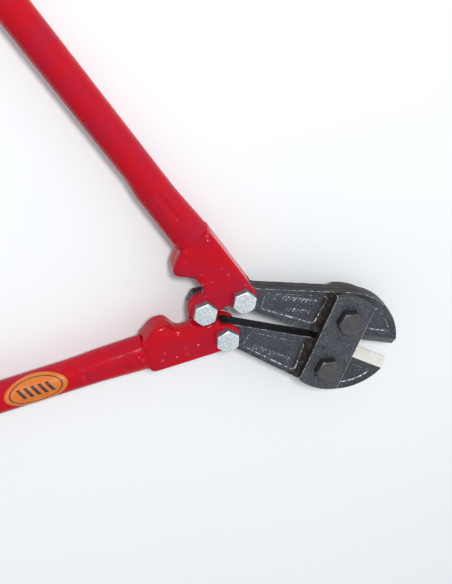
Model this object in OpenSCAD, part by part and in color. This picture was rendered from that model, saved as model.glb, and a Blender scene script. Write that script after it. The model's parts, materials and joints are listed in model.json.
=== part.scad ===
/* [Linkage] */
// Distance between the two strap bolts
bolt_spacing = 59; // [57:0.5:61]
// How far the jaw tail pins lie behind the strap bolts
tail_reach = 118.5; // [114:0.5:122]
// Distance between the two jaw tail pins
tail_spread = 46.2; // [44:0.2:49]
// How far the centre pivot lies behind the strap bolts
centre_reach = 152.3; // [150:0.1:155]
// Angle of each handle from the centre line
handle_angle = 35; // [30:1:40]
// Angle of each jaw from closed
jaw_open = 7.1; // [6:0.1:8]

/* [Jaws] */
// Thickness of a jaw
jaw_t = 18; // [16:0.5:20]
// Radius of the rounded back of a blade
blade_r = 61; // [58:0.5:63]
// Height of the ground bevel above the cutting edge
bevel_h = 10.8; // [8:0.2:13]
// Radius of the round tail end
tail_r = 13; // [12:0.5:13.5]
// Width of the raised rim around the sunk panel of an arm
rim_w = 5.5; // [4:0.5:7]
// Width of the raised rim around the sunk panel of a blade
blade_rim = 8.2; // [6:0.2:10]
// Depth of the sunk panels
panel_d = 1.2; // [0.6:0.2:2]

/* [Straps] */
// Width of a strap
strap_w = 45.5; // [42:0.5:48]
// Length of a strap over its round ends
strap_l = 112; // [108:1:116]
// Thickness of a strap
strap_t = 8; // [7:0.5:9]

/* [Bolts] */
// Diameter of the strap bolts
strap_bolt_d = 16; // [14:1:16]
// Width across flats of the strap bolts
strap_bolt_af = 24; // [22:1:24]
// Diameter of the handle bolts
pin_d = 14; // [12:1:14]
// Width across flats of the handle bolts
pin_af = 22; // [19:1:22]
// Radial play of the centre pivot's loose eye
loose_play = 2.6; // [2.4:0.1:3]

/* [Handles] */
// Thickness of a handle forging
fit_t = 34; // [33:0.5:36]
// Radius of the fork's eyes around the jaw pins
fork_r = 15; // [14.5:0.5:15.5]
// Radius of the eyes around the centre pivot
eye_r = 15.5; // [15:0.5:16]
// Diameter of the handle tube
tube_d = 32; // [30:1:34]
// Wall of the handle tube
wall = 2.5; // [2:0.5:3.5]
// Length of a handle from its jaw pin to the end of the grip
handle_l = 700; // [600:10:760]
// Length of a grip
grip_l = 140; // [110:5:180]
// Outside diameter of a grip
grip_d = 38; // [36:1:42]

/* [Hidden] */
$fn = 72;

// Layers, as heights above the middle plane of the tool
face_gap = 0.1;
jaw_z = jaw_t / 2;
ear_z = jaw_z + face_gap;
strap_z = ear_z + strap_t;
fit_z = fit_t / 2;
lap_z = 0.4;

// Fits and standard heights of the fasteners
run_fit = 0.05;
washer_t = 2.5;
pin_head = 8.8;
pin_nut = 12.8;
strap_head = 10;
strap_nut = 14.8;
washer_r = 14;
strap_washer_r = 15;

// Pivots at rest
strap_pin = [0, bolt_spacing / 2];
jaw_pin = [-tail_reach, tail_spread / 2];
centre = [-centre_reach, 0];

// The handle frame has its origin on the jaw pin, +X along the tube and +Y towards the centre line
tube_y = 3.9;
seam_x = 84;
kink_x = 156;
label_x = 198.5;
label_a = 33;
label_b = 15.2;
label_turn = 16;
label_t = 0.3;
skin_gap = 0.03;
socket_a = 19.4;
socket_b = 16;
socket_bore = socket_b - wall;
bead_w = 4;
bead_h = 1.2;
tail_room = 1.6;
// Corners of each stop lug as [x, y, radius]: its notch, then its top
upper_lug = [[50, 26, 6], [63.5, 41, 5.5], [70.5, 38.5, 7]];
lower_lug = [[49, 24.5, 6], [54.5, 33.5, 6.5], [68.5, 33.5, 9]];
tang_l = 26;
slope_l = 6;
grip_end = 4;
grip_round = 3;
guard_h = 2.5;
guard_l = 13;
groove_d = 0.9;
groove_w = 3;
groove_pitch = 9;
groove_start = 32;
grooves = 9;
centre_in_handle = turned(centre - jaw_pin, handle_angle - 180);

// Outline of a jaw, drawn closed: its blade is an arc about blade_c that ends at angle blade_back
blade_c = [4.5, -3];
blade_back = 95.3;
edge_y = 0.15;
edge_land = 0.25;
edge_root = 15;
tail_c = turned_about(jaw_pin, strap_pin, -jaw_open);
arm_in = [-31, 7.2];
arm_slope = 0.205;
arm_out = blade_c + blade_r * [cos(blade_back), sin(blade_back)];
tip_angle = asin((edge_y - blade_c.y) / blade_r);
tip = blade_c + blade_r * [cos(tip_angle), sin(tip_angle)];

// Where the whole tool stands: on its nuts, with the middle of its length over the origin
floor_z = strap_z + washer_t + strap_nut;
tip_x = turned_about(tip, strap_pin, jaw_open).x;
back_x = jaw_pin.x - (handle_l - grip_round) * cos(handle_angle)
         - (tube_y + grip_d / 2 - grip_round) * sin(handle_angle) - grip_round;
mid_x = (tip_x + back_x) / 2;

// Colours
forged_black = [0.17, 0.18, 0.20];
plate_black = [0.20, 0.21, 0.23];
enamel_red = [0.78, 0.12, 0.17];
zinc = [0.78, 0.82, 0.82];
rubber_black = [0.10, 0.10, 0.11];
label_orange = [0.92, 0.55, 0.20];

// ---- Plane geometry ----

function turned(p, a) = [p.x * cos(a) - p.y * sin(a), p.x * sin(a) + p.y * cos(a)];
function turned_about(p, c, a) = c + turned(p - c, a);
function unit(v) = v / norm(v);
function arc(c, r, a, b, n = 12) = [for (i = [0:n]) c + r * [cos(a + (b - a) * i / n), sin(a + (b - a) * i / n)]];
function ellipse(a, b, n = 48) = [for (i = [0:n - 1]) [a * cos(360 * i / n), b * sin(360 * i / n)]];

// The arc of radius r that rounds the corner b between its neighbours a and c
function corner(a, b, c, r, n = 5) =
    r == 0 ? [b] :
    let (u = unit(a - b), w = unit(c - b), half = acos(u * w) / 2,
         m = b + unit(u + w) * r / sin(half),
         p = b + u * r / tan(half) - m, q = b + w * r / tan(half) - m,
         start = atan2(p.y, p.x),
         sweep = (atan2(q.y, q.x) - start + 540) % 360 - 180)
    arc(m, r, start, start + sweep, n);

// A path through corners given as [x, y, radius], with sharp ends
function path(c) =
    let (n = len(c), p = [for (q = c) [q[0], q[1]]])
    [for (i = [0:n - 1]) each i == 0 || i == n - 1 ? [p[i]] : corner(p[i - 1], p[i], p[i + 1], c[i][2])];

// A closed outline of the same kind of corners
function rounded(c) =
    let (n = len(c), p = [for (q = c) [q[0], q[1]]])
    [for (i = [0:n - 1]) each corner(p[(i + n - 1) % n], p[i], p[(i + 1) % n], c[i][2])];

// ---- Placing ----

module placed() {
    translate([-mid_x, 0, floor_z]) children();
}

// The upper handle's frame at rest
module handle_frame() {
    translate([jaw_pin.x, jaw_pin.y, 0]) rotate([0, 0, 180 - handle_angle]) children();
}

module lower() {
    mirror([0, 1, 0]) children();
}

// Both strap bolts
module strap_pair() {
    for (s = [1, -1]) translate([strap_pin.x, s * strap_pin.y, 0]) children();
}

// An outline extruded from one height to another
module slab(outline, low, high) {
    translate([0, 0, low]) linear_extrude(high - low) polygon(outline);
}

module hole(p, r) {
    translate([p.x, p.y, -60]) cylinder(r = r, h = 120);
}

// ---- Fasteners ----

// A hexagon with its round chamfer on top, and below it too when both is true
module hexagon(af, h, both = false) {
    chamfer = 30;
    corner_r = af / 2 / cos(30);
    flat_r = af / 2 - 0.5;
    drop = (corner_r - flat_r) * tan(chamfer);
    low = both ? [[flat_r, 0], [corner_r, drop]] : [[corner_r, 0]];
    intersection() {
        cylinder(r = corner_r, h = h, $fn = 6);
        rotate_extrude() polygon(concat([[0, 0]], low, [[corner_r, h - drop], [flat_r, h], [0, h]]));
    }
}

// A bolt with its head's seat at height seat and its end at height end
module bolt(d, af, head, seat, end, turn) {
    bevel = 1;
    translate([0, 0, seat]) rotate([0, 0, turn]) hexagon(af, head);
    translate([0, 0, end + bevel]) cylinder(r = d / 2, h = seat - end - bevel);
    translate([0, 0, end]) cylinder(r1 = d / 2 - bevel, r2 = d / 2, h = bevel);
}

module nut(d, af, h, top, turn) {
    translate([0, 0, top - h]) difference() {
        rotate([0, 0, turn]) hexagon(af, h, true);
        translate([0, 0, -1]) cylinder(r = d / 2 + run_fit, h = h + 2);
    }
}

module washer(d, r, top) {
    translate([0, 0, top - washer_t]) difference() {
        cylinder(r = r, h = washer_t);
        translate([0, 0, -1]) cylinder(r = d / 2 + run_fit, h = washer_t + 2);
    }
}

// ---- Jaws, drawn closed and then opened about the strap bolt ----

// Height of the arm's outer and inner edges at x
function arm_top(x) = arm_out.y - (arm_out.x - x) * tan(blade_back - 90);
function arm_low(x) = arm_in.y + (arm_in.x - x) * arm_slope;

module jaw_outline() {
    root = [edge_root, edge_y];
    back = [tail_c.x + 14, arm_top(tail_c.x + 14)];
    under = [tail_c.x + 2.6, arm_low(tail_c.x + 2.6)];
    polygon(concat([root], arc(blade_c, blade_r, tip_angle, blade_back, 28),
                   [back, tail_c + [2, tail_r - 1], tail_c, under, arm_in, [edge_root - 3, 5]]));
    translate(tail_c) circle(r = tail_r);
}

// The sunk panel on the arm
module arm_panel() {
    left = tail_c.x + 24;
    right_low = -33;
    right_top = -26;
    polygon(rounded([[left, arm_low(left) + rim_w, 4], [right_low, arm_low(right_low) + rim_w + 3, 4],
                     [right_top, arm_top(right_top) - rim_w, 4], [left, arm_top(left) - rim_w, 4]]));
}

// The sunk panel on the blade, inside its round back
module blade_panel() {
    low = bevel_h + blade_rim - 0.6;
    left = strap_w / 2 + 3;
    intersection() {
        translate(blade_c) circle(r = blade_r - blade_rim);
        polygon([[left, low], [80, low], [80, 80], [left - 8, 80]]);
    }
}

// Wedges of metal ground off both faces to leave the cutting edge
module bevels() {
    rise = jaw_z / bevel_h;
    for (s = [0, 1]) mirror([0, 0, s]) translate([edge_root, 0, 0]) rotate([90, 0, 90])
        linear_extrude(80)
            polygon([[edge_y - 2, edge_land], [edge_y, edge_land], [edge_y + bevel_h, jaw_z],
                     [edge_y + bevel_h + 3, jaw_z + 3 * rise], [edge_y - 2, jaw_z + 5]]);
}

module jaw() {
    translate([strap_pin.x, strap_pin.y, 0]) rotate([0, 0, jaw_open])
    translate([-strap_pin.x, -strap_pin.y, 0]) difference() {
        translate([0, 0, -jaw_z]) linear_extrude(jaw_t) jaw_outline();
        bevels();
        hole(strap_pin, strap_bolt_d / 2 + run_fit);
        hole(tail_c, pin_d / 2 + run_fit);
        for (z = [jaw_z - panel_d, -jaw_z - 1]) translate([0, 0, z]) linear_extrude(panel_d + 1) {
            arm_panel();
            blade_panel();
        }
    }
}

module upper_jaw() {
    color(forged_black) placed() jaw();
}

module lower_jaw() {
    color(forged_black) placed() lower() jaw();
}

// ---- Straps and their bolts ----

module strap(low) {
    translate([0, 0, low]) difference() {
        linear_extrude(strap_t) intersection() {
            square([strap_w, strap_l + 10], center = true);
            circle(d = strap_l);
        }
        strap_pair() translate([0, 0, -1]) cylinder(r = strap_bolt_d / 2 + run_fit, h = strap_t + 2);
    }
}

module front_strap() {
    color(plate_black) placed() strap(ear_z);
}

module rear_strap() {
    color(plate_black) placed() strap(-strap_z);
}

module strap_bolts() {
    color(plate_black) placed() strap_pair()
        bolt(strap_bolt_d, strap_bolt_af, strap_head, strap_z, 0.5 - floor_z, 20);
}

module strap_washers() {
    color(plate_black) placed() strap_pair() washer(strap_bolt_d, strap_washer_r, -strap_z);
}

module strap_nuts() {
    color(plate_black) placed() strap_pair()
        nut(strap_bolt_d, strap_bolt_af, strap_nut, -strap_z - washer_t, 10);
}

// ---- Handle forgings, in the handle frame ----

// The stop lug's two top corners, and the square end at the tube's seam
function lug_and_end(lug) =
    [lug[1], lug[2], [seam_x - 4, 24, 5], [seam_x, 20, 0], [seam_x, -fork_r, 7], [40, -fork_r, 0]];

// Front half: fork ear, eye of the centre pivot, notch and stop lug
function front_outline(lug) =
    let (c = centre_in_handle)
    concat(arc([0, 0], fork_r, 270, 80, 12),
           [[3, fork_r + 3], [3, c.y - eye_r + 3]],
           arc(c, eye_r, 220, -15, 14),
           path(concat([[c.x + eye_r - 0.4, c.y - 5, 0], [32, 24.5, 7], lug[0]], lug_and_end(lug))));

// Rear half: fork ear, arm and stop lug
function rear_outline(lug) =
    concat(arc([0, 0], fork_r, 270, 90, 12),
           path(concat([[0, fork_r, 0], [44, fork_r, 8]], lug_and_end(lug))));

// Room for the jaw's tail between the fork's ears
module tail_slot() {
    r = tail_r + tail_room;
    slab([[-30, -30], [7, -30], [7, 14], [0, r], [-30, r + 2]], -ear_z, ear_z);
    translate([0, 0, -ear_z]) cylinder(r = r, h = 2 * ear_z);
}

// Slopes that thin the forging down to the tube's socket
module socket_slopes() {
    for (s = [0, 1]) mirror([0, 0, s]) translate([0, 60, 0]) rotate([90, 0, 0]) linear_extrude(120)
        polygon([[seam_x - slope_l, fit_z + 0.01], [seam_x + 1, socket_b - 0.4], [seam_x + 1, fit_z + 5],
                 [seam_x - slope_l, fit_z + 5]]);
}

// The round tang that the tube is pressed over
module tang() {
    translate([seam_x - 1, tube_y, 0]) rotate([0, 90, 0]) cylinder(r = socket_bore - run_fit, h = tang_l);
}

// The body with its fork. The eye keeps the layer from eye_low to eye_high, with hole radius eye_hole
module fitting(eye_low, eye_high, eye_hole, lug) {
    c = centre_in_handle;
    room = eye_r + loose_play + 0.4;
    difference() {
        union() {
            slab(front_outline(lug), 0, fit_z);
            slab(rear_outline(lug), -fit_z, 0);
        }
        tail_slot();
        socket_slopes();
        translate([c.x, c.y, eye_high]) cylinder(r = room, h = 40);
        translate([c.x, c.y, eye_low - 40]) cylinder(r = room, h = 40);
        hole(c, eye_hole);
        hole([0, 0], pin_d / 2 + run_fit);
    }
    tang();
}

module upper_fitting() {
    color(enamel_red) placed() handle_frame() fitting(ear_z, fit_z, pin_d / 2 + run_fit, upper_lug);
}

module lower_fitting() {
    color(enamel_red) placed() lower() handle_frame()
        fitting(lap_z, ear_z - 2 * face_gap, pin_d / 2 + loose_play, lower_lug);
}

// ---- Tubes, welds, grips and label ----

// A ring or tube turned about the tube's axis, from an outline of [radius, distance along the handle]
module turned_on_tube(outline) {
    translate([0, tube_y, 0]) rotate([0, 90, 0]) rotate_extrude() polygon(outline);
}

// The tube widens towards its seam, where it is pressed flat above and below
module tube() {
    r = tube_d / 2;
    end = handle_l - grip_end;
    difference() {
        turned_on_tube([[socket_bore, seam_x], [socket_a, seam_x], [r, kink_x], [r, end],
                        [r - wall, end], [r - wall, kink_x], [socket_bore, kink_x]]);
        for (s = [0, 1]) mirror([0, 0, s]) translate([0, 60, 0]) rotate([90, 0, 0]) linear_extrude(120)
            polygon([[seam_x - 1, socket_b], [kink_x, r + 0.5], [kink_x, r + 5], [seam_x - 1, r + 5]]);
    }
}

// The socket's end face: a circle pressed flat on two sides, wider all round by more
module socket_face(more) {
    intersection() {
        circle(r = socket_a + more);
        square([2 * (socket_b + more), 3 * socket_a], center = true);
    }
}

module weld() {
    translate([seam_x, tube_y, 0]) rotate([0, 90, 0]) difference() {
        linear_extrude(bead_w) socket_face(bead_h);
        translate([0, 0, -1]) linear_extrude(bead_w + 2) socket_face(0.2);
    }
}

// A closed rubber sleeve with a flared guard and ring grooves
module grip() {
    r = grip_d / 2;
    bore = tube_d / 2 + run_fit;
    depth = grip_l - grip_end;
    translate([handle_l - grip_l, tube_y, 0]) rotate([0, 90, 0]) rotate_extrude() difference() {
        polygon(concat([[0, depth], [bore, depth], [bore, 0], [r + guard_h - 1.5, 0],
                        [r + guard_h, 2], [r + guard_h, guard_l - 6], [r, guard_l]],
                       arc([r - grip_round, grip_l - grip_round], grip_round, 0, 90, 5), [[0, grip_l]]));
        for (i = [0:grooves - 1])
            translate([r - groove_d, groove_start + i * groove_pitch]) square([2, groove_w]);
    }
}

// An oval sticker wrapped over the tube, turned a little towards the centre line
module label() {
    r = tube_d / 2;
    translate([label_x, tube_y, 0]) rotate([-label_turn, 0, 0]) intersection() {
        translate([-label_a - 2, 0, 0]) rotate([0, 90, 0]) difference() {
            cylinder(r = r + label_t, h = 2 * label_a + 4);
            translate([0, 0, -1]) cylinder(r = r + skin_gap, h = 2 * label_a + 6);
        }
        linear_extrude(r + 2) polygon(ellipse(label_a, label_b));
    }
}

module upper_tube() {
    color(enamel_red) placed() handle_frame() tube();
}

module lower_tube() {
    color(enamel_red) placed() lower() handle_frame() tube();
}

module upper_weld() {
    color(enamel_red) placed() handle_frame() weld();
}

module lower_weld() {
    color(enamel_red) placed() lower() handle_frame() weld();
}

module upper_grip() {
    color(rubber_black) placed() handle_frame() grip();
}

module lower_grip() {
    color(rubber_black) placed() lower() handle_frame() grip();
}

module handle_label() {
    color(label_orange) placed() lower() handle_frame() label();
}

// ---- Handle bolts ----

module at_jaw_pin() {
    translate([jaw_pin.x, jaw_pin.y, 0]) children();
}

module at_centre() {
    translate([centre.x, centre.y, 0]) children();
}

pin_end = -fit_z - washer_t - pin_nut + 0.5;
centre_end = lap_z - washer_t - pin_nut - 1;

module upper_jaw_bolt() {
    color(zinc) placed() at_jaw_pin() bolt(pin_d, pin_af, pin_head, fit_z, pin_end, 40);
}

module lower_jaw_bolt() {
    color(zinc) placed() lower() at_jaw_pin() bolt(pin_d, pin_af, pin_head, fit_z, pin_end, 10);
}

module upper_jaw_washer() {
    color(zinc) placed() at_jaw_pin() washer(pin_d, washer_r, -fit_z);
}

module lower_jaw_washer() {
    color(zinc) placed() lower() at_jaw_pin() washer(pin_d, washer_r, -fit_z);
}

module upper_jaw_nut() {
    color(zinc) placed() at_jaw_pin() nut(pin_d, pin_af, pin_nut, -fit_z - washer_t, 0);
}

module lower_jaw_nut() {
    color(zinc) placed() lower() at_jaw_pin() nut(pin_d, pin_af, pin_nut, -fit_z - washer_t, 15);
}

module centre_bolt() {
    color(zinc) placed() at_centre() bolt(pin_d, pin_af, pin_head, fit_z, centre_end, 40);
}

module centre_washer() {
    color(plate_black) placed() at_centre() washer(pin_d, washer_r, lap_z - face_gap);
}

module centre_nut() {
    color(plate_black) placed() at_centre() nut(pin_d, pin_af, pin_nut, lap_z - face_gap - washer_t, 25);
}

upper_jaw();
lower_jaw();
front_strap();
rear_strap();
strap_bolts();
strap_washers();
strap_nuts();
upper_fitting();
lower_fitting();
upper_tube();
lower_tube();
upper_weld();
lower_weld();
upper_grip();
lower_grip();
upper_jaw_bolt();
lower_jaw_bolt();
upper_jaw_washer();
lower_jaw_washer();
upper_jaw_nut();
lower_jaw_nut();
centre_bolt();
centre_washer();
centre_nut();
handle_label();
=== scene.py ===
import json
import math
from math import cos, pi, sin

import bmesh
import bpy
import numpy as np
from mathutils import Matrix, Vector, noise
from mathutils.bvhtree import BVHTree

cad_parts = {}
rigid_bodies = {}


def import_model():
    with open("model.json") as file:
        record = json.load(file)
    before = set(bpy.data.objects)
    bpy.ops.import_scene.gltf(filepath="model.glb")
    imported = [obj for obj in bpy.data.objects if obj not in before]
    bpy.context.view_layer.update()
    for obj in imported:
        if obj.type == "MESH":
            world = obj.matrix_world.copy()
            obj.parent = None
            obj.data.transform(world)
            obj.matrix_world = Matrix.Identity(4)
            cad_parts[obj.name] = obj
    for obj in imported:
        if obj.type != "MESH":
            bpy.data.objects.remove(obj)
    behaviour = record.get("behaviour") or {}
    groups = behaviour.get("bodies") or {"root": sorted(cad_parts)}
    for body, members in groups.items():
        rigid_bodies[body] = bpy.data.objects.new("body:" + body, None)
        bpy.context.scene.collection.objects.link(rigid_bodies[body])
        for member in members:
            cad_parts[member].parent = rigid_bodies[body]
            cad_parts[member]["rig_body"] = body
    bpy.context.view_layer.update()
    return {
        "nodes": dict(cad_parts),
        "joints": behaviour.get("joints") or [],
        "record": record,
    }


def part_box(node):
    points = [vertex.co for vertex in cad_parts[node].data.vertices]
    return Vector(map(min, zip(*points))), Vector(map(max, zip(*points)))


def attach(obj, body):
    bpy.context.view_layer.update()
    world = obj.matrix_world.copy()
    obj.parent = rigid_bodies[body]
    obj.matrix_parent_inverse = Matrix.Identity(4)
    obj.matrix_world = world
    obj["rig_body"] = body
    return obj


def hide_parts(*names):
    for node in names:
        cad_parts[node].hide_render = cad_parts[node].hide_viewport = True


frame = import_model()
MM = 0.001

# ---- Places: read from the frame, or repeated from part.scad where the frame does not hold them ----

joints = {j["name"]: j for j in frame["joints"]}
mounts = {m["name"]: m for m in frame["record"]["mounts"]}
MID_Z = joints["upper_handle_pivot"]["pos_m"][2]
STRAP_BOLT = np.array(joints["upper_jaw_pivot"]["pos_m"])
JAW_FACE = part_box("upper_jaw")[1].z - MID_Z
STRAP_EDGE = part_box("front_strap")[0].x
JAW_OPEN = math.radians(7.1)  # how far each jaw stands open at rest
BEVEL_TOP = 10.95 * MM  # upper border of the ground bevel, above the cut of a closed jaw
EDGE_ROOT = 15 * MM  # where the cutting edge starts, out from the strap bolt


class Handle:
    """One handle's own frame: origin on its jaw pin, x out along the tube, y towards the centre line."""

    def __init__(self, name, side):
        self.name, self.side, self.body = name, side, name + "_handle"
        self.origin = Vector(joints[name + "_handle_pivot"]["pos_m"])
        self.x = Vector(mounts[name + "_grip_hold"]["axis"]).normalized()
        self.y = Vector((-self.x.y * side, self.x.x * side, 0))
        self.z = Vector((0, 0, 1))

    def out(self, p):
        """A point of the handle frame in the row frame."""
        return self.origin + self.x * p[0] + self.y * p[1] + self.z * p[2]

    def into(self, points):
        """Points of the row frame, as an array, in the handle frame."""
        return (points - np.array(self.origin)) @ np.array([self.x, self.y, self.z]).T

    def box(self, node):
        """Lowest and highest corner of a CAD node in the handle frame."""
        local = self.into(np.array([v.co for v in frame["nodes"][node].data.vertices]))
        return local.min(0), local.max(0)


UPPER, LOWER = Handle("upper", 1), Handle("lower", -1)
tube_low, tube_high = UPPER.box("upper_tube")
grip_low, grip_high = UPPER.box("upper_grip")
weld_high = UPPER.box("upper_weld")[1]
label_low, label_high = LOWER.box("handle_label")
SEAM_X = tube_low[0]
TUBE_END = tube_high[0]
TUBE_Y = (tube_low[1] + tube_high[1]) / 2
TUBE_R = tube_high[2]
TUBE_WALL = 2.5 * MM
SOCKET_A = (tube_high[1] - tube_low[1]) / 2  # half width of the tube at its seam
SOCKET_B = weld_high[2] - 1.2 * MM  # half thickness of the tube at its seam, under the weld
BORE_START = 72 * MM  # from the seam to where the bore is round


# ---- Materials ----

class Look:
    """A procedural material in the making: a base colour, layers over it, and bumps, all fixed to the piece."""

    def __init__(self, name, colour, **inputs):
        self.material = bpy.data.materials.new(name)
        self.material.use_nodes = True
        self.tree = self.material.node_tree
        self.shader = self.tree.nodes["Principled BSDF"]
        self.feed(self.shader, **inputs)
        self.place = self.node("TexCoord").outputs["Object"]
        self.colour = colour
        self.height = None

    def node(self, kind, **settings):
        made = self.tree.nodes.new("ShaderNode" + kind)
        for key, value in settings.items():
            setattr(made, key, value)
        return made

    def feed(self, made, **links):
        """Sets or links a node's inputs. A key is i and the input's number, or its name with _ for spaces."""
        for key, value in links.items():
            socket = made.inputs[int(key[1:]) if key[1:].isdigit() else key.replace("_", " ")]
            if isinstance(value, bpy.types.NodeSocket):
                self.tree.links.new(value, socket)
            else:
                socket.default_value = value
        return made

    def split(self, vector):
        """The x, y and z of a vector."""
        return self.feed(self.node("SeparateXYZ"), i0=vector).outputs

    def stretched(self, x, y, z, turn=0.0):
        """Places turned about Z and then scaled along each axis."""
        turned = self.feed(self.node("Mapping"), Vector=self.place, Rotation=(0, 0, turn))
        return self.feed(self.node("Mapping"), Vector=turned.outputs[0], Scale=(x, y, z)).outputs[0]

    def noise(self, scale, detail=3.0, rough=0.5, place=None):
        made = self.node("TexNoise")
        self.feed(made, Vector=place or self.place, Scale=scale, Detail=detail, Roughness=rough)
        return made.outputs["Fac"]

    def spots(self, scale):
        """Distance to scattered points, in cells."""
        return self.feed(self.node("TexVoronoi"), Vector=self.place, Scale=scale).outputs["Distance"]

    def step(self, value, low, high, to_low=0.0, to_high=1.0):
        """value carried from low..high to to_low..to_high, smoothly and without overshoot."""
        made = self.node("MapRange", interpolation_type="SMOOTHSTEP")
        return self.feed(made, i0=value, i1=low, i2=high, i3=to_low, i4=to_high).outputs[0]

    def maths(self, what, a, b=0.0):
        return self.feed(self.node("Math", operation=what), i0=a, i1=b).outputs[0]

    def product(self, first, *others):
        for other in others:
            first = self.maths("MULTIPLY", first, other)
        return first

    def mix(self, share, a, b):
        a, b = (c if isinstance(c, bpy.types.NodeSocket) else (*c, 1) for c in (a, b))
        return self.feed(self.node("Mix", data_type="RGBA"), i0=share, i6=a, i7=b).outputs[2]

    def paint(self, share, colour):
        """Lays a colour over the colour so far, as far as share is near 1."""
        self.colour = self.mix(share, self.colour, colour)

    def tilt(self):
        """0 on walls to 1 on faces that look up or down. Joints turn about Z only, so poses do not change it."""
        return self.maths("ABSOLUTE", self.split(self.node("NewGeometry").outputs["Normal"])[2])

    def paint_walls(self, low, high, share, colour):
        """Lays a colour over the walls, fading out as tilt goes from low to high."""
        self.paint(self.step(self.tilt(), low, high, share, 0.0), colour)

    def bump(self, height, distance, strength=1.0):
        made = self.feed(self.node("Bump"), Height=height, Strength=strength, Distance=distance)
        if self.height is not None:
            self.feed(made, Normal=self.height)
        self.height = made.outputs[0]

    def done(self, **links):
        """The finished material. links drive further inputs of the shader."""
        self.feed(self.shader, Base_Color=self.colour, **links)
        if self.height is not None:
            self.feed(self.shader, Normal=self.height)
        return self.material


def red_enamel(name, **gloss):
    """Thick dipped enamel: an even deep red, a faintly wavy skin, and a few small drops."""
    look = Look(name, (0.48, 0.004, 0.012), **gloss)
    look.paint(look.step(look.noise(26, 3, 0.55), 0.35, 0.68), (0.40, 0.007, 0.026))
    streak = look.noise(70, 4, 0.6, look.stretched(1, 0.35, 1))
    look.paint(look.step(streak, 0.56, 0.74, 0.0, 0.4), (0.37, 0.016, 0.045))
    look.bump(look.noise(110, 2, 0.5), 0.6 * MM, 0.3)
    drop = look.step(look.spots(120), 0.03, 0.22, 1.0, 0.0)
    rare = look.step(look.noise(45, 1), 0.49, 0.55)
    look.bump(look.product(drop, rare), 0.7 * MM, 0.9)
    return look.done(Roughness=look.step(look.noise(60, 4), 0.3, 0.7, 0.10, 0.17))


# The bevel's dull and clean steel, as lit and shaded copies of one colour: the upper jaw's is darkened as
# painted shade, the lower jaw's is lightened as painted light.
SHADED_UPPER_BEVEL = ((0.085, 0.085, 0.090), (0.15, 0.15, 0.155))
LIT_LOWER_BEVEL = ((0.78, 0.76, 0.70), (0.90, 0.88, 0.81))


def jaw_steel(name, side):
    """A scaled, oiled forging with rubbed edges that are also lightened as painted highlights, walls darkened as
    painted shade, a brown band beside the straps that is partly oil and partly painted shade, and a ground
    bevel.
    """
    look = Look(name, (0.036, 0.039, 0.049), Specular_IOR_Level=0.25)
    look.paint(look.step(look.noise(34, 5, 0.62), 0.3, 0.7), (0.058, 0.062, 0.076))
    look.paint(look.step(look.noise(520, 3, 0.75), 0.50, 0.68, 0.0, 0.75), (0.150, 0.158, 0.190))
    tilt = look.tilt()
    # Painted shade: the walls are darkened to near black, so the faces read lighter as if lit from above.
    look.paint(look.step(tilt, 0.3, 0.62, 0.9, 0.0), (0.009, 0.009, 0.011))

    # A brown band along the strap's edge: partly oily stain, partly painted shade where the strap shades the
    # jaw.
    x = look.split(look.place)[0]
    left = look.step(x, STRAP_EDGE - 13.5 * MM, STRAP_EDGE - 8.5 * MM)
    right = look.step(x, STRAP_EDGE + 4 * MM, STRAP_EDGE + 12 * MM, 1.0, 0.0)
    band = look.product(left, right, look.step(look.noise(130, 4, 0.65), 0.28, 0.5))
    look.paint(band, (0.021, 0.016, 0.012))
    specks = look.step(look.noise(380, 4, 0.7), 0.55, 0.66)
    look.paint(look.product(band, specks), (0.090, 0.064, 0.038))

    # Rubbed bare edges, also lightened as painted highlight lines along the rounded edges.
    edges = look.product(look.step(tilt, 0.52, 0.68), look.step(tilt, 0.86, 0.95, 1.0, 0.0))
    worn_and_highlit = look.step(look.noise(210, 4, 0.7), 0.47, 0.58, 0.08, 0.85)
    look.paint(look.product(edges, worn_and_highlit), (0.62, 0.63, 0.66))

    ground = ground_share(look, side, tilt)
    # The upper jaw's bevel gets painted shade, the lower jaw's painted light.
    dull, clean = SHADED_UPPER_BEVEL if side > 0 else LIT_LOWER_BEVEL
    scratch = look.noise(60, 4, 0.7, look.stretched(38, 1.5, 1.5, side * JAW_OPEN))
    bright = look.mix(look.step(scratch, 0.35, 0.7), dull, clean)
    stain = look.step(look.noise(160, 4, 0.6), 0.55, 0.72, 0.0, 0.5)
    bright = look.mix(stain, bright, [share * part for share, part in zip((0.7, 0.62, 0.5), dull)])
    look.paint(ground, bright)

    look.bump(look.noise(1400, 3, 0.7), 0.12 * MM, 0.7)
    look.bump(look.noise(300, 4, 0.6), 0.5 * MM, 0.4)
    return look.done(Roughness=look.step(look.noise(150, 4, 0.6), 0.3, 0.7, 0.34, 0.50),
                     Metallic=look.step(ground, 0.0, 1.0, 0.15, 0.75))


def ground_share(look, side, tilt):
    """1 on a jaw's ground bevel. It is found in the closed jaw's own place, by height above the cut."""
    pin = (STRAP_BOLT[0], side * STRAP_BOLT[1], 0)
    shifted = look.feed(look.node("VectorMath", operation="SUBTRACT"), i0=look.place, i1=pin).outputs[0]
    closed = look.feed(look.node("Mapping"), i0=shifted, Rotation=(0, 0, -side * JAW_OPEN)).outputs[0]
    x, y, _ = look.split(closed)
    top = BEVEL_TOP - STRAP_BOLT[1]
    return look.product(look.step(look.product(y, side), top - 0.1 * MM, top + 0.1 * MM, 1.0, 0.0),
                        look.step(x, EDGE_ROOT + 0.1 * MM, EDGE_ROOT + 0.4 * MM),
                        look.step(tilt, 0.28, 0.36),
                        look.step(tilt, 0.96, 0.985, 1.0, 0.0))


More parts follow.
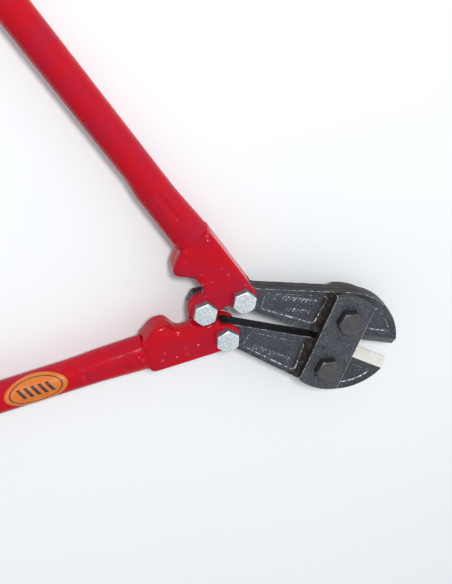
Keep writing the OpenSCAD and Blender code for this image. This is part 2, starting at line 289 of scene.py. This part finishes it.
def plate_black():
    """Blackened rolled plate, with an even speckle, oily smears, and walls darkened brown, partly as oily tint
    and partly as painted shade.
    """
    look = Look("plate_black", (0.040, 0.045, 0.057), Metallic=0.15, Specular_IOR_Level=0.45)
    look.paint(look.step(look.noise(30, 4, 0.6), 0.35, 0.7), (0.056, 0.061, 0.074))
    look.paint(look.step(look.noise(560, 3, 0.75), 0.48, 0.66, 0.0, 0.7), (0.160, 0.168, 0.198))
    look.paint(look.step(look.noise(75, 4, 0.6), 0.57, 0.68, 0.0, 0.8), (0.020, 0.016, 0.012))
    # Walls darkened brown: partly oily tint, partly painted shade.
    look.paint_walls(0.2, 0.5, 0.85, (0.026, 0.021, 0.016))
    look.bump(look.noise(1500, 3, 0.7), 0.10 * MM, 0.6)
    look.bump(look.noise(200, 3, 0.5), 0.3 * MM, 0.25)
    return look.done(Roughness=look.step(look.noise(110, 4, 0.6), 0.3, 0.7, 0.42, 0.58))


def bolt_black():
    """Black oxide on bolts and nuts, mottled, with sides darkened as painted shade."""
    look = Look("bolt_black", (0.060, 0.057, 0.064), Metallic=0.2, Specular_IOR_Level=0.45)
    look.paint(look.step(look.noise(130, 4, 0.6), 0.35, 0.65), (0.088, 0.082, 0.086))
    # Painted shade: the sides are darkened.
    look.paint_walls(0.1, 0.4, 0.8, (0.014, 0.012, 0.012))
    look.bump(look.noise(1300, 3, 0.6), 0.08 * MM, 0.6)
    return look.done(Roughness=look.step(look.noise(240, 4), 0.3, 0.7, 0.36, 0.50))


def worn_edge():
    """Bare bright steel, in patches, where an edge has been rubbed."""
    look = Look("worn_edge", (0.12, 0.12, 0.135), Metallic=1.0)
    bare = look.step(look.noise(330, 4, 0.7), 0.40, 0.52)
    look.paint(bare, (0.80, 0.80, 0.82))
    return look.done(Roughness=look.step(bare, 0.0, 1.0, 0.5, 0.3))


def zinc_plate():
    """Dull zinc plating, mottled and pitted, with a slight green-blue tint and sides darkened as painted shade.
    """
    look = Look("zinc_plate", (0.50, 0.56, 0.59), Metallic=0.45, Specular_IOR_Level=0.5)
    look.paint(look.step(look.noise(520, 4, 0.6), 0.38, 0.64), (0.80, 0.86, 0.89))
    look.paint(look.step(look.noise(150, 3), 0.45, 0.62, 0.0, 0.5), (0.56, 0.68, 0.64))
    pit = look.step(look.spots(420), 0.05, 0.20, 1.0, 0.0)
    look.paint(look.product(pit, 0.7), (0.22, 0.25, 0.27))
    # Painted shade: the sides are darkened.
    look.paint_walls(0.1, 0.4, 0.8, (0.10, 0.11, 0.14))
    look.bump(look.noise(700, 3, 0.6), 0.16 * MM, 0.6)
    look.bump(pit, 0.10 * MM, 0.7)
    return look.done(Roughness=look.step(look.noise(300, 3), 0.3, 0.7, 0.34, 0.50))


def rubber():
    """Moulded black rubber, dusty in patches."""
    look = Look("rubber", (0.016, 0.016, 0.018), Specular_IOR_Level=0.35)
    look.paint(look.step(look.noise(45, 5, 0.65), 0.45, 0.75, 0.0, 0.8), (0.050, 0.049, 0.050))
    look.bump(look.noise(1100, 3, 0.6), 0.12 * MM, 0.7)
    return look.done(Roughness=look.step(look.noise(200, 3), 0.3, 0.7, 0.55, 0.75))


def sticker(name, fresh, rubbed):
    """Printed glossy film, faintly creased and rubbed."""
    look = Look(name, fresh, Specular_IOR_Level=0.35)
    look.paint(look.step(look.noise(60, 4, 0.6), 0.35, 0.7), rubbed)
    look.bump(look.noise(120, 3, 0.5), 0.4 * MM, 0.3)
    return look.done(Roughness=look.step(look.noise(500, 4, 0.7), 0.4, 0.7, 0.25, 0.5))


RED = red_enamel("red_enamel", Specular_IOR_Level=0.13)
DROP = red_enamel("red_drop", Specular_IOR_Level=0.6, Coat_Weight=0.6, Coat_Roughness=0.03)
PLATE = plate_black()
BOLT = bolt_black()
EDGE = worn_edge()
ZINC = zinc_plate()
RUBBER = rubber()
ORANGE = sticker("label_orange", (0.64, 0.145, 0.016), (0.60, 0.19, 0.028))
INK = sticker("label_ink", (0.045, 0.030, 0.040), (0.075, 0.045, 0.055))


# ---- Mesh tools ----

def add_piece(name, mesh, body, materials, replaces=()):
    """Puts a mesh in the scene as a piece that rides on body, in place of the CAD nodes that it replaces."""
    for material in materials:
        mesh.materials.append(material)
    piece = bpy.data.objects.new(name, mesh)
    bpy.context.scene.collection.objects.link(piece)
    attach(piece, body)
    if replaces:
        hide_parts(*replaces)
    return piece


def make_piece(name, verts, faces, body, slot, material, replaces=()):
    """A smooth piece from points and faces, its faces turned outwards."""
    mesh = bpy.data.meshes.new(name)
    mesh.from_pydata([tuple(v) for v in verts], [], faces)
    turned = bmesh.new()
    turned.from_mesh(mesh)
    bmesh.ops.recalc_face_normals(turned, faces=turned.faces)
    turned.to_mesh(mesh)
    turned.free()
    mesh.shade_smooth()
    return add_piece(name, mesh, body, [material], replaces)


def handle_piece(handle, name, verts, faces, slot, material, replaced):
    """A piece of one handle, from points of the handle frame."""
    return make_piece(f"{handle.name}_{name}", [handle.out(v) for v in verts], faces, handle.body,
                      slot, material, [f"{handle.name}_{replaced}"])


def loft(rings):
    """(points, faces) between equal rings of points, joined round both ways like a torus."""
    count, size = len(rings), len(rings[0])
    verts = [p for ring in rings for p in ring]
    faces = []
    for i in range(count):
        for j in range(size):
            a, b = i * size, (i + 1) % count * size
            k = (j + 1) % size
            faces.append((a + j, a + k, b + k, b + j))
    return verts, faces


def even_mesh(node, cell):
    """(points, faces, edges) of a closed mesh of small even cells over a CAD node's shape."""
    copy = bpy.data.objects.new("even", frame["nodes"][node].data.copy())
    bpy.context.scene.collection.objects.link(copy)
    copy.modifiers.new("weld", "WELD").merge_threshold = 1e-6
    remesh = copy.modifiers.new("remesh", "REMESH")
    remesh.mode = "VOXEL"
    remesh.voxel_size = cell
    found = copy.evaluated_get(bpy.context.evaluated_depsgraph_get()).to_mesh()
    points = np.array([v.co for v in found.vertices])
    faces = [tuple(p.vertices) for p in found.polygons]
    edges = np.array([tuple(e.vertices) for e in found.edges])
    bpy.data.objects.remove(copy)
    return points, faces, edges


def relax(points, edges, rounds, share=1.0):
    """Rounds a mesh's edges by moving each point halfway to its neighbours. share scales each point's move."""
    count = len(points)
    degree = np.bincount(edges.ravel(), minlength=count)[:, None]
    share = 0.5 * np.broadcast_to(share, count)[:, None]
    for _ in range(rounds):
        total = np.zeros_like(points)
        for axis in range(3):
            total[:, axis] = (np.bincount(edges[:, 0], points[edges[:, 1], axis], count)
                              + np.bincount(edges[:, 1], points[edges[:, 0], axis], count))
        points = points + share * (total / degree - points)
    return points


def normals_of(points, faces):
    mesh = bpy.data.meshes.new("measure")
    mesh.from_pydata([tuple(p) for p in points], [], faces)
    found = np.array([v.normal for v in mesh.vertices])
    bpy.data.meshes.remove(mesh)
    return found


def uneven(points, size, depth):
    """A slow random height for each point, for hammered and cast skins."""
    return np.array([noise.noise(Vector(p) / size) for p in points]) * depth


def ridge(distance, width):
    """1 on a line, falling off to both sides over width."""
    return np.exp(-((distance / width) ** 2))


def smooth_step(value, low, high):
    t = np.clip((value - low) / (high - low), 0, 1)
    return t * t * (3 - 2 * t)


# ---- Jaws ----

JAW_CELL = 0.6 * MM
BAR_PITCH, BAR_SLANT, BAR_RISE = 4.2 * MM, 0.35, 0.8 * MM
# Rows of slanted raised bars in the sunk panels, as (centre, length, height). The lower jaw has the first only.
BAR_ROWS = (((-60 * MM, 40.5 * MM), 46 * MM, 5 * MM), ((-54 * MM, 28.5 * MM), 26 * MM, 3.6 * MM))


def closed_jaw(points, side):
    """Row-frame points in a jaw's own frame: its closed position, as the upper jaw, about the middle plane."""
    local = (points - np.array([STRAP_BOLT[0], 0, MID_Z])) * np.array([1, side, 1])
    pin = STRAP_BOLT[1]
    x, y = local[:, 0], local[:, 1] - pin
    return np.stack([x * cos(JAW_OPEN) + y * sin(JAW_OPEN), -x * sin(JAW_OPEN) + y * cos(JAW_OPEN) + pin,
                     local[:, 2]], axis=1)


def hatch(x, y, centre, length, height):
    """Height, from 0 to 1, of a row of short slanted raised bars."""
    u, v = x - centre[0] - BAR_SLANT * (y - centre[1]), y - centre[1]
    along = np.abs((u + BAR_PITCH / 2) % BAR_PITCH - BAR_PITCH / 2)
    inside = (np.abs(u) < length / 2) & (np.abs(v) < height / 2)
    return np.where(inside, smooth_step(BAR_PITCH * 0.34 - along, -0.4 * MM, 0.4 * MM), 0)


def jaw_piece(name, side):
    """A jaw with rounded, slightly uneven forged edges, a keen ground edge and a flat bearing face."""
    points, faces, edges = even_mesh(name, JAW_CELL)
    place = closed_jaw(points, side)
    forged = smooth_step(place[:, 1], BEVEL_TOP - 1 * MM, BEVEL_TOP + 2 * MM)
    forged = np.where(place[:, 0] > EDGE_ROOT, forged, 1)
    points = relax(points, edges, 5, 0.12 + 0.88 * forged)
    place, out = closed_jaw(points, side), normals_of(points, faces)
    below_face = JAW_FACE - np.abs(place[:, 2])

    sunk = (np.abs(out[:, 2]) > 0.95) & (below_face > 0.7 * MM) & (place[:, 0] < 0)
    bars = sum(hatch(place[:, 0], place[:, 1], *row) for row in (BAR_ROWS if side > 0 else BAR_ROWS[:1]))
    rise = np.where(sunk, bars * BAR_RISE, 0)
    walls = (np.abs(out[:, 2]) < 0.35) & (forged > 0.9)
    rise += np.where(walls, ridge(place[:, 2], 0.9 * MM) * 0.25 * MM, 0)  # parting line of the forging
    rise += forged * uneven(points, 9 * MM, 0.16 * MM) + forged * uneven(points, 2.2 * MM, 0.05 * MM)
    rise = np.where(below_face < 0.5 * MM, -np.abs(rise), rise)  # nothing stands proud towards the straps
    points = points + out * rise[:, None]
    make_piece(name + "_forging", points, faces, name, "forged_black", jaw_steel(name + "_steel", side), [name])


jaw_piece("upper_jaw", 1)
jaw_piece("lower_jaw", -1)


# ---- Handle forgings ----

FORGING_CELL = 0.8 * MM
MARK_AT, MARK_RADII = (60 * MM, 1 * MM), (8 * MM, 3 * MM)


def forging_piece(handle):
    """A handle forging with soft edges and rounded lugs. The upper one has two raised rings as its mark."""
    points, faces, edges = even_mesh(handle.name + "_fitting", FORGING_CELL)
    local = handle.into(points)
    hidden = local[:, 0] > SEAM_X + 1.5 * MM
    by_seam = smooth_step(local[:, 0], SEAM_X - 7 * MM, SEAM_X - 2 * MM)
    points = relax(points, edges, 60, np.where(hidden, 0.0, 1 - 0.7 * by_seam))
    local = handle.into(points)
    lug = (smooth_step(local[:, 0], 36 * MM, 50 * MM) * smooth_step(local[:, 1], 6 * MM, 22 * MM)
           * smooth_step(-local[:, 0], -SEAM_X + 1 * MM, -SEAM_X + 7 * MM))
    points = relax(points, edges, 30, lug)
    points = np.column_stack([points[:, :2], relax(points, edges, 260, lug)[:, 2]])

    local, out = handle.into(points), normals_of(points, faces)
    rise = np.where(np.abs(out[:, 2]) < 0.4, ridge(local[:, 2], 1.1 * MM) * 0.3 * MM, 0)  # parting line
    rise += uneven(points, 16 * MM, 0.22 * MM) + uneven(points, 5 * MM, 0.04 * MM)
    if handle.side > 0:
        across = np.hypot(local[:, 0] - MARK_AT[0], local[:, 1] - MARK_AT[1])
        mark = sum(ridge(across - radius, 0.8 * MM) for radius in MARK_RADII)
        front = local[:, 2] > 0.9 * TUBE_R
        rise += np.where(front, mark * (0.35 + 0.5 * uneven(points, 2.2 * MM, 1.0)) * MM, 0)
    points = points + out * np.where(hidden, 0, rise)[:, None]
    return make_piece(handle.name + "_forging", points, faces, handle.body, "red_enamel", RED,
                      [handle.name + "_fitting"])


# ---- Tubes ----

RING_POINTS = 96
GROOVE_WIDTH, GROOVE_DEPTH, GROOVE_Y = 3.2 * MM, 1.8 * MM, -1.5 * MM
# From the seam to the start and end of the groove, and of the neck, which takes a share of the narrowing.
GROOVES = {"upper": (28 * MM, 62 * MM), "lower": (18 * MM, 66 * MM)}
NECKS = {"upper": (64 * MM, 92 * MM, 0.8), "lower": (40 * MM, 78 * MM, 0.4)}


def tube_ring(x, inner_a, outer_a, radius_b, dent=0.0):
    """A ring round the tube at x, with its own half width on each side and a groove pressed into its front."""
    ring = []
    for j in range(RING_POINTS):
        angle = 2 * pi * j / RING_POINTS
        y, z = (inner_a if cos(angle) > 0 else outer_a) * cos(angle), radius_b * sin(angle)
        press = dent * math.exp(-((y - GROOVE_Y) / GROOVE_WIDTH) ** 2) if z > 0 else 0
        ring.append((x, TUBE_Y + y, z - press))
    return ring


def tube_piece(handle):
    """The tube: wide at its seam, narrowing to round at its neck, with a groove, and open inside."""
    groove_start, groove_end = (SEAM_X + along for along in GROOVES[handle.name])
    neck_start, neck_end, neck = NECKS[handle.name]
    steps = 96
    extra = SOCKET_A - TUBE_R
    rings = []
    for i in range(steps + 1):
        along = neck_end * i / steps
        x, t = SEAM_X + along, along / neck_end
        inner = TUBE_R + extra * (1 - (1 - neck) * t - neck * smooth_step(along, neck_start, neck_end))
        outer = TUBE_R + extra * (1 - smooth_step(along, -8 * MM, 60 * MM))
        thick = SOCKET_B + (TUBE_R - SOCKET_B) * smooth_step(t, 0, 1)
        ease = (smooth_step(x, groove_start - 2 * MM, groove_start + 4 * MM)
                * smooth_step(-x, -groove_end - 1.5 * MM, -groove_end + 1.5 * MM))
        rings.append(tube_ring(x, inner, outer, thick, GROOVE_DEPTH * ease))
    for x in np.linspace(SEAM_X + neck_end + 8 * MM, TUBE_END, 24):
        rings.append(tube_ring(x, TUBE_R, TUBE_R, TUBE_R))
    bore, throat = TUBE_R - TUBE_WALL, SOCKET_B - TUBE_WALL
    for x, radius in ((TUBE_END, bore), (SEAM_X + BORE_START, bore), (SEAM_X, throat)):
        rings.append(tube_ring(x, radius, radius, radius))
    return handle_piece(handle, "pipe", *loft(rings), "red_enamel", RED, "tube")


def weld_piece(handle):
    """The bead round the seam, with the ripples that welding leaves, softened by the paint."""
    count, section, ripples = 150, 12, 34
    rings = []
    for i in range(count):
        angle = 2 * pi * i / count
        across = Vector((0, cos(angle), sin(angle)))
        lump = 0.85 + 0.12 * sin(ripples * angle)
        lump += 0.10 * noise.noise(Vector((9 * cos(angle), 9 * sin(angle), 3)))
        centre = Vector((SEAM_X + 0.6 * MM, TUBE_Y + (SOCKET_A - 0.6 * MM) * cos(angle),
                         (SOCKET_B - 0.5 * MM) * sin(angle)))
        rings.append([centre + across * 1.4 * MM * lump * cos(2 * pi * j / section)
                      + Vector((1.7 * MM * lump * sin(2 * pi * j / section), 0, 0)) for j in range(section)])
    handle_piece(handle, "seam", *loft(rings), "red_enamel", RED, "weld")


# ---- Drops of enamel, where the dipped handles dripped: x and y in the handle frame, in millimetres ----

DROPS = {
    "upper": ((50, 18), (37, 14), (40, 23), (33, -3), (43, -2), (81, -10), (77, -8), (12, -10), (27, 28),
              (114, 3)),
    "lower": ((57, 26), (46, 20), (65, 5), (69, -3), (43, 4), (43, -4), (54, -4), (30, 2), (149, 7), (87, 4)),
}
DROP_FLATNESS = 0.42


def ordered(work):
    """(points, faces) of a bmesh in the same order each run, which bmesh's own spheres do not keep."""
    verts = sorted(tuple(v.co) for v in work.verts)
    number = {v: i for i, v in enumerate(verts)}
    faces = []
    for face in work.faces:
        loop = [number[tuple(v.co)] for v in face.verts]
        first = loop.index(min(loop))
        faces.append(loop[first:] + loop[:first])
    return verts, sorted(faces)


def drop_pieces(handle, *under):
    """Flattened drops that sit on the front of the given pieces."""
    trees = [BVHTree.FromPolygons([v.co for v in piece.data.vertices],
                                  [p.vertices[:] for p in piece.data.polygons]) for piece in under]
    work = bmesh.new()
    for i, (x, y) in enumerate(DROPS[handle.name]):
        above = handle.out((x * MM, y * MM, 0.1))
        places = [tree.ray_cast(above, Vector((0, 0, -1)))[0] for tree in trees]
        place = max((p for p in places if p), key=lambda p: p.z)
        bmesh.ops.create_uvsphere(work, u_segments=14, v_segments=10, radius=(1.2 + 0.25 * (i % 4)) * MM,
                                  matrix=Matrix.Translation(place) @ Matrix.Diagonal((1, 1, DROP_FLATNESS, 1)))
    make_piece(handle.name + "_drops", *ordered(work), handle.body, "red_enamel", DROP)
    work.free()


# ---- Grips ----

GRIP_SEGMENTS = 64
GUARD = 2.5 * MM  # how far the guard at the open end stands out
GUARD_ROUND = 1.6 * MM
RING_COUNT, RING_START, RING_PITCH, RING_WIDTH, RING_DEPTH = 9, 32 * MM, 9 * MM, 3 * MM, 0.9 * MM
END_ROUND = 3 * MM
AXIS_R = 0.05 * MM  # radius at the axis, and play round the tube


def grip_outline():
    """Half outline of the grip as (radius, distance from its open end), bore included."""
    length, flare = grip_high[0] - grip_low[0], grip_high[2]
    r, bore = flare - GUARD, TUBE_R + AXIS_R
    depth = TUBE_END - grip_low[0]
    outline = [(bore, 0), (flare - GUARD_ROUND, 0)]
    outline += [(flare - GUARD_ROUND + GUARD_ROUND * sin(a), GUARD_ROUND - GUARD_ROUND * cos(a))
                for a in np.linspace(0.2, pi / 2, 6)]
    outline += [(flare - GUARD * t * t * (3 - 2 * t), (5 + 10 * t) * MM) for t in np.linspace(0, 1, 12)]
    for i in range(RING_COUNT):
        start = RING_START + RING_PITCH * i
        outline += [(r - RING_DEPTH * (0.5 - 0.5 * cos(2 * pi * t)) ** 0.6, start + RING_WIDTH * t)
                    for t in np.linspace(0, 1, 11)]
        outline.append((r, start + 2 * RING_WIDTH))
    outline += [(r - END_ROUND + END_ROUND * cos(a), length - END_ROUND + END_ROUND * sin(a))
                for a in np.linspace(0, pi / 2, 8)]
    outline += [(5 * MM, length), (3.5 * MM, length - 1.2 * MM), (AXIS_R, length - 1.5 * MM)]
    outline += [(AXIS_R, depth), (bore, depth)]
    return outline


def grip_piece(handle):
    turns = [2 * pi * j / GRIP_SEGMENTS for j in range(GRIP_SEGMENTS)]
    rings = [[(grip_low[0] + x, TUBE_Y + r * cos(turn), r * sin(turn)) for turn in turns]
             for r, x in grip_outline()]
    handle_piece(handle, "sleeve", *loft(rings), "rubber", RUBBER, "grip")


# ---- Label on the lower tube ----

LABEL_X = (label_low[0] + label_high[0]) / 2
LABEL_A = (label_high[0] - label_low[0]) / 2
LABEL_B = 15.2 * MM
LABEL_TURN = math.radians(16)  # how far its middle line lies round the tube from the front
OVAL_POINTS = 72
BAR_STEPS = 6
FILM, PRINT = (0.03 * MM, 0.22 * MM), (0.1 * MM, 0.27 * MM)  # heights over the tube of under and upper side


def on_tube(x, across, radius):
    """A point x along the handle and across the label's middle line, at radius from the tube's axis."""
    height = math.sqrt(radius ** 2 - across ** 2)
    y = across * cos(LABEL_TURN) + height * sin(LABEL_TURN)
    z = -across * sin(LABEL_TURN) + height * cos(LABEL_TURN)
    return LOWER.out((x, TUBE_Y + y, z))


def shell(name, spot, columns, rows, heights, material, closed, replaces=()):
    """A thin closed shell over the tube. spot(i, j) gives a place on the label for each grid point."""
    verts, faces = [], []
    for height in reversed(heights):
        verts += [on_tube(*spot(i, j), TUBE_R + height) for j in range(rows + 1) for i in range(columns)]
    layer = columns * (rows + 1)
    wraps = columns if closed else columns - 1
    for j in range(rows):
        for i in range(wraps):
            k = (i + 1) % columns
            quad = (j * columns + i, j * columns + k, (j + 1) * columns + k, (j + 1) * columns + i)
            faces += [quad, tuple(q + layer for q in reversed(quad))]
    for i in range(wraps):
        k = (i + 1) % columns
        for j in (0, rows):
            faces.append((j * columns + i, j * columns + k, layer + j * columns + k, layer + j * columns + i))
    if not closed:
        for i in (0, columns - 1):
            for j in range(rows):
                a, b = j * columns + i, (j + 1) * columns + i
                faces.append((a, b, layer + b, layer + a))
    make_piece(name, verts, faces, LOWER.body, "label", material, replaces)


def oval(name, start, end, rows, heights, material, replaces=()):
    """The part of the label's oval from its start to its end share."""
    def spot(i, j):
        angle, share = 2 * pi * i / OVAL_POINTS, start + (end - start) * j / rows
        return LABEL_X + LABEL_A * share * cos(angle), LABEL_B * share * sin(angle)
    shell(name, spot, OVAL_POINTS, rows, heights, material, True, replaces)


def bar(name, x, length, height, slant):
    """A slanted printed bar, x from the label's middle."""
    def spot(i, j):
        v = height * (j / BAR_STEPS - 0.5)
        return LABEL_X + x + length * (i / BAR_STEPS - 0.5) + slant * v, v
    shell(name, spot, BAR_STEPS + 1, BAR_STEPS, PRINT, INK, False)


def label_pieces():
    oval("label_film", 0.02, 1, 12, FILM, ORANGE, ["handle_label"])
    oval("label_ring", 0.80, 0.845, 2, PRINT, INK)
    for i in range(5):
        bar(f"label_bar_{i + 1}", (i - 2) * 7.4 * MM, 3.8 * MM, 11 * MM, 0.5)


for handle in (UPPER, LOWER):
    drop_pieces(handle, forging_piece(handle), tube_piece(handle))
    weld_piece(handle)
    grip_piece(handle)
label_pieces()


# ---- Straps and fasteners ----

def crisp(node, material, width, edge_material=None):
    """A CAD shape with its edges rounded to width. edge_material stays on those at both ends in x."""
    work = bmesh.new()
    work.from_mesh(frame["nodes"][node].data)
    bmesh.ops.remove_doubles(work, verts=work.verts, dist=1e-6)
    bmesh.ops.dissolve_limit(work, angle_limit=math.radians(1), verts=work.verts, edges=work.edges)
    sharp = [e for e in work.edges if len(e.link_faces) == 2 and e.calc_face_angle() > math.radians(24)]
    bmesh.ops.bevel(work, geom=sharp, offset=width, segments=3, profile=0.5, affect="EDGES",
                    clamp_overlap=True, material=1 if edge_material else -1)
    bmesh.ops.remove_doubles(work, verts=work.verts, dist=1e-6)
    mesh = bpy.data.meshes.new(node + "_part")
    work.to_mesh(mesh)
    work.free()
    reach = max(v.co.x for v in mesh.vertices) - 1.0 * MM
    middle = sum(v.co.x for v in mesh.vertices) / len(mesh.vertices)
    for polygon in mesh.polygons:
        if abs(polygon.center.x - middle) < reach - middle:
            polygon.material_index = 0
    mesh.shade_smooth()
    mesh.set_sharp_from_angle(angle=math.radians(40))
    materials = [material, edge_material] if edge_material else [material]
    add_piece(node + "_part", mesh, frame["nodes"][node]["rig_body"], materials, [node])


for node in ("front_strap", "rear_strap"):
    crisp(node, PLATE, 0.5 * MM, EDGE)
for node in ("strap_bolts", "strap_washers", "strap_nuts", "centre_washer", "centre_nut"):
    crisp(node, BOLT, 0.4 * MM)
for node in ("upper_jaw_bolt", "lower_jaw_bolt", "centre_bolt", "upper_jaw_washer", "lower_jaw_washer",
             "upper_jaw_nut", "lower_jaw_nut"):
    crisp(node, ZINC, 0.35 * MM)


# ---- Floor, light and camera ----

def floor():
    half = 6.0
    mesh = bpy.data.meshes.new("floor")
    mesh.from_pydata([(-half, -half, 0), (half, -half, 0), (half, half, 0), (-half, half, 0)], [],
                     [(0, 1, 2, 3)])
    plane = bpy.data.objects.new("floor", mesh)
    bpy.context.scene.collection.objects.link(plane)
    look = Look("floor", (0.83, 0.855, 0.87), Specular_IOR_Level=0.2, Roughness=0.7)
    look.paint(look.noise(3, 3), (0.86, 0.882, 0.895))
    mesh.materials.append(look.done())


def lamp():
    """A soft lamp beside the camera, which hides most of its own shadows, as the photo's does."""
    place, target = Vector((-0.43, 1.09, 2.05)), Vector((0.1, 0, 0))
    data = bpy.data.lights.new("lamp", "AREA")
    data.shape, data.size, data.energy, data.color = "DISK", 0.3, 34, (1, 0.995, 0.985)
    made = bpy.data.objects.new("lamp", data)
    made.location = place
    made.rotation_euler = (target - place).to_track_quat("-Z", "Y").to_euler()
    bpy.context.scene.collection.objects.link(made)


def world():
    """A bright studio room, its light coming mostly from the side that bright_side points to."""
    bright_side, reach = (0.68, 0.68, 0.0), 0.75
    dim, bright = 0.42, 0.88
    made = bpy.data.worlds.new("world")
    bpy.context.scene.world = made
    made.use_nodes = True
    tree = made.node_tree
    across = tree.nodes.new("ShaderNodeVectorMath")
    across.operation = "DOT_PRODUCT"
    tree.links.new(tree.nodes.new("ShaderNodeTexCoord").outputs["Generated"], across.inputs[0])
    across.inputs[1].default_value = bright_side
    side = tree.nodes.new("ShaderNodeMapRange")
    side.interpolation_type = "SMOOTHSTEP"
    tree.links.new(across.outputs["Value"], side.inputs[0])
    for index, value in enumerate((-reach, reach, dim, bright)):
        side.inputs[index + 1].default_value = value
    background = tree.nodes["Background"]
    background.inputs["Color"].default_value = (0.95, 0.975, 1.0, 1)
    tree.links.new(side.outputs[0], background.inputs["Strength"])


def camera():
    """The photograph's viewing angle."""
    data = bpy.data.cameras.new("camera")
    data.lens = 70.0
    made = bpy.data.objects.new("camera", data)
    made.location = (-0.2153, 0.4559, 1.0184)
    made.rotation_euler = [math.radians(a) for a in (-28.857, -12.077, 21.749)]
    bpy.context.scene.collection.objects.link(made)
    bpy.context.scene.camera = made


floor()
world()
lamp()
camera()

bpy.context.scene.view_settings.view_transform = "Standard"
